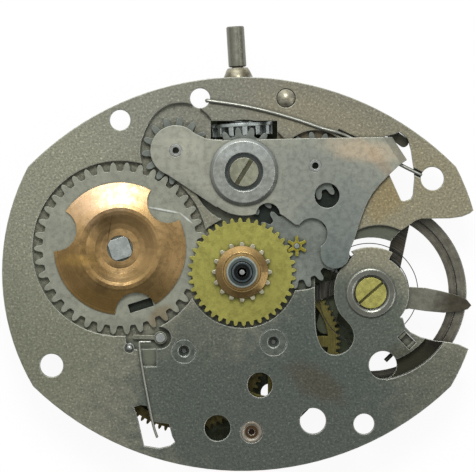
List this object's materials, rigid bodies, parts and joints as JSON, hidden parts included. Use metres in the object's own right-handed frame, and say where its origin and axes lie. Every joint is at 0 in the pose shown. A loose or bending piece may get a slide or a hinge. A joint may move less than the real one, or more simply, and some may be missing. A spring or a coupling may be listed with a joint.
{
  "type": "watch movement",
  "caption": "Hand-wound watch movement with a barrel-shaped plate, seen from the dial side, with a rocking bar, winding wheels, motion work and a leaning stem.",
  "frame": {"origin": "hand axis at the main plate's dial face, midway between the dial-foot holes", "axes": "+Z towards the dial and the viewer, +Y towards 12 o'clock where the stem leaves, +X towards 3 o'clock and the balance"},
  "size_m": [0.0283, 0.0267, 0.0071],
  "materials": {
    "plate": "frosted nickel plate, aged",
    "bridge_brass": "satin",
    "brass": "satin",
    "dark_brass": "tarnished",
    "hour_brass": "satin, aged",
    "gold_brass": "bright",
    "end_brass": "satin",
    "bronze": "tarnished copper alloy",
    "steel": "polished",
    "wheel_steel": "satin",
    "bar_steel": "fine grained",
    "bush_steel": "bright, bevelled",
    "lever_steel": "dark",
    "wire": "bright drawn",
    "spring_steel": "blued",
    "balance_alloy": "aged nickel alloy",
    "plug": "nickel-plated"
  },
  "bodies": {
    "frame": {"main_plate": "plate", "train_bridge": "bridge_brass", "pillars": "bridge_brass", "bridge_screws": "steel", "train_bushings": "plug", "balance_bush": "bush_steel", "balance_endpieces": "end_brass", "escapement_bridge": "bridge_brass", "stem_block": "plug", "stem_bush": "plug", "bar_screw": "bush_steel", "bar_spring": "wire", "click_pin": "steel", "click_spring": "wire", "hairspring_stud": "steel", "hairspring_pin": "lever_steel", "minute_stud": "bush_steel"},
    "bar": {"rocking_bar": "bar_steel", "bar_ring": "bush_steel"},
    "intermediate_axle": {"intermediate_stud": "bush_steel"},
    "intermediate": {"intermediate_wheel": "wheel_steel"},
    "setting_axle": {"setting_stud": "bush_steel"},
    "setting": {"setting_wheel": "wheel_steel"},
    "winding": {"winding_wheel": "wheel_steel"},
    "contrate": {"contrate_wheel": "wheel_steel"},
    "stem": {"stem": "steel"},
    "lever_setting": {"setting_lever": "lever_steel", "setting_lever_axle": "steel"},
    "ratchet": {"ratchet_wheel": "wheel_steel", "dished_spring": "bronze", "barrel_arbor": "steel"},
    "barrel": {"barrel_drum": "brass", "barrel_lid": "brass", "mainspring": "spring_steel"},
    "click": {"click": "wheel_steel"},
    "second": {"second_pinion": "steel", "second_wheel": "brass"},
    "minute_drive": {"minute_drive_wheel": "brass"},
    "third": {"third_pinion": "steel", "third_wheel": "dark_brass"},
    "fourth": {"seconds_arbor": "steel", "fourth_wheel": "brass"},
    "escape": {"escape_pinion": "steel", "escape_wheel": "brass"},
    "pallet": {"pallet_lever": "steel", "pallet_arbor": "steel", "pallet_pins": "steel"},
    "balance": {"balance_wheel": "balance_alloy", "balance_staff": "steel", "impulse_roller": "steel", "hairspring": "spring_steel"},
    "index": {"regulator_index": "balance_alloy"},
    "cannon": {"cannon_pinion": "wheel_steel", "cannon_wheel": "brass"},
    "minute": {"minute_wheel": "wheel_steel", "minute_pinion": "gold_brass"},
    "hour": {"hour_wheel": "hour_brass", "date_pinion": "wheel_steel", "dial_washer": "bronze"}
  },
  "joints": [
    {"name": "crown_turn", "type": "hinge", "parent": "frame", "child": "contrate", "pos_m": [0.00012, 0.006, -0.00195], "axis": [-0.061, 0.9981, 0], "continuous": true},
    {"name": "stem_pull", "type": "slide", "parent": "contrate", "child": "stem", "axis": [-0.061, 0.9981, 0], "range_m": [0, 0.00065]},
    {"name": "bar_rock", "type": "hinge", "parent": "frame", "child": "bar", "pos_m": [0.00012, 0.006, 0], "axis": [0, 0, 1], "range_deg": [-10.8, 0], "deforming": ["bar_spring"]},
    {"name": "intermediate_carry", "type": "hinge", "parent": "bar", "child": "intermediate_axle", "pos_m": [-0.00397, 0.00728, 0], "axis": [0, 0, 1], "range_deg": [-14.64, 0]},
    {"name": "setting_carry", "type": "hinge", "parent": "bar", "child": "setting_axle", "pos_m": [0.00439, 0.00637, 0], "axis": [0, 0, 1], "range_deg": [-14.64, 0]},
    {"name": "intermediate_turn", "type": "hinge", "parent": "intermediate_axle", "child": "intermediate", "pos_m": [-0.00397, 0.00728, 0], "axis": [0, 0, 1], "continuous": true},
    {"name": "setting_turn", "type": "hinge", "parent": "setting_axle", "child": "setting", "pos_m": [0.00439, 0.00637, 0], "axis": [0, 0, 1], "continuous": true},
    {"name": "winding_turn", "type": "hinge", "parent": "frame", "child": "winding", "pos_m": [0.00012, 0.006, 0], "axis": [0, 0, 1], "continuous": true},
    {"name": "ratchet_turn", "type": "hinge", "parent": "frame", "child": "ratchet", "pos_m": [-0.00732, 0.00141, 0], "axis": [0, 0, 1], "continuous": true},
    {"name": "lever_tilt", "type": "hinge", "parent": "frame", "child": "lever_setting", "pos_m": [0.00264, 0.01044, 0], "axis": [0, 0, 1], "range_deg": [-13.37, 0]},
    {"name": "click_lift", "type": "hinge", "parent": "frame", "child": "click", "pos_m": [-0.0049, -0.00395, 0], "axis": [0, 0, 1], "range_deg": [0, 12], "deforming": ["click_spring"]},
    {"name": "seconds_spin", "type": "hinge", "parent": "frame", "child": "fourth", "pos_m": [0, 0, 0], "axis": [0, 0, 1], "continuous": true, "deforming": ["mainspring"]},
    {"name": "third_spin", "type": "hinge", "parent": "frame", "child": "third", "pos_m": [0.00189, -0.0042, 0], "axis": [0, 0, 1], "continuous": true},
    {"name": "second_spin", "type": "hinge", "parent": "frame", "child": "second", "pos_m": [-0.00348, -0.00474, 0], "axis": [0, 0, 1], "continuous": true},
    {"name": "barrel_spin", "type": "hinge", "parent": "frame", "child": "barrel", "pos_m": [-0.00732, 0.00141, 0], "axis": [0, 0, 1], "continuous": true},
    {"name": "escape_spin", "type": "hinge", "parent": "frame", "child": "escape", "pos_m": [0.00356, 0, 0], "axis": [0, 0, 1], "continuous": true},
    {"name": "pallet_rock", "type": "hinge", "parent": "frame", "child": "pallet", "pos_m": [0.00578, -0.00067, 0], "axis": [0, 0, 1], "range_deg": [-5, 5]},
    {"name": "balance_swing", "type": "hinge", "parent": "frame", "child": "balance", "pos_m": [0.00774, -0.00126, 0], "axis": [0, 0, 1], "range_deg": [-135, 135], "stiffness_Nm_per_rad": 0.0000006, "deforming": ["hairspring"]},
    {"name": "index_shift", "type": "hinge", "parent": "frame", "child": "index", "pos_m": [0.00774, -0.00126, 0], "axis": [0, 0, 1], "range_deg": [-8, 8]},
    {"name": "cannon_turn", "type": "hinge", "parent": "frame", "child": "cannon", "pos_m": [0, 0, 0], "axis": [0, 0, 1], "continuous": true},
    {"name": "minute_drive_turn", "type": "hinge", "parent": "frame", "child": "minute_drive", "pos_m": [-0.00348, -0.00474, 0], "axis": [0, 0, 1], "continuous": true},
    {"name": "minute_turn", "type": "hinge", "parent": "frame", "child": "minute", "pos_m": [0.00329, 0.00156, 0], "axis": [0, 0, 1], "continuous": true},
    {"name": "hour_turn", "type": "hinge", "parent": "frame", "child": "hour", "pos_m": [0, 0, 0], "axis": [0, 0, 1], "continuous": true}
  ],
  "couplings": [
    {"joint": "winding_turn", "follows": "crown_turn", "ratio": -0.73684},
    {"joint": "intermediate_turn", "follows": "crown_turn", "ratio": 1},
    {"joint": "setting_turn", "follows": "crown_turn", "ratio": 1},
    {"joint": "ratchet_turn", "follows": "crown_turn", "ratio": -0.36842},
    {"joint": "bar_rock", "follows": "stem_pull", "rad_per_m": -289.36},
    {"joint": "intermediate_carry", "follows": "stem_pull", "rad_per_m": -392.7},
    {"joint": "setting_carry", "follows": "stem_pull", "rad_per_m": -392.7},
    {"joint": "lever_tilt", "follows": "stem_pull", "rad_per_m": -358.55},
    {"joint": "third_spin", "follows": "seconds_spin", "ratio": -0.16667},
    {"joint": "second_spin", "follows": "seconds_spin", "ratio": 0.016667},
    {"joint": "barrel_spin", "follows": "seconds_spin", "ratio": -0.0027778},
    {"joint": "escape_spin", "follows": "seconds_spin", "ratio": -10},
    {"joint": "minute_drive_turn", "follows": "cannon_turn", "ratio": -1},
    {"joint": "minute_turn", "follows": "cannon_turn", "ratio": -0.55556},
    {"joint": "hour_turn", "follows": "cannon_turn", "ratio": 0.083333}
  ]
}
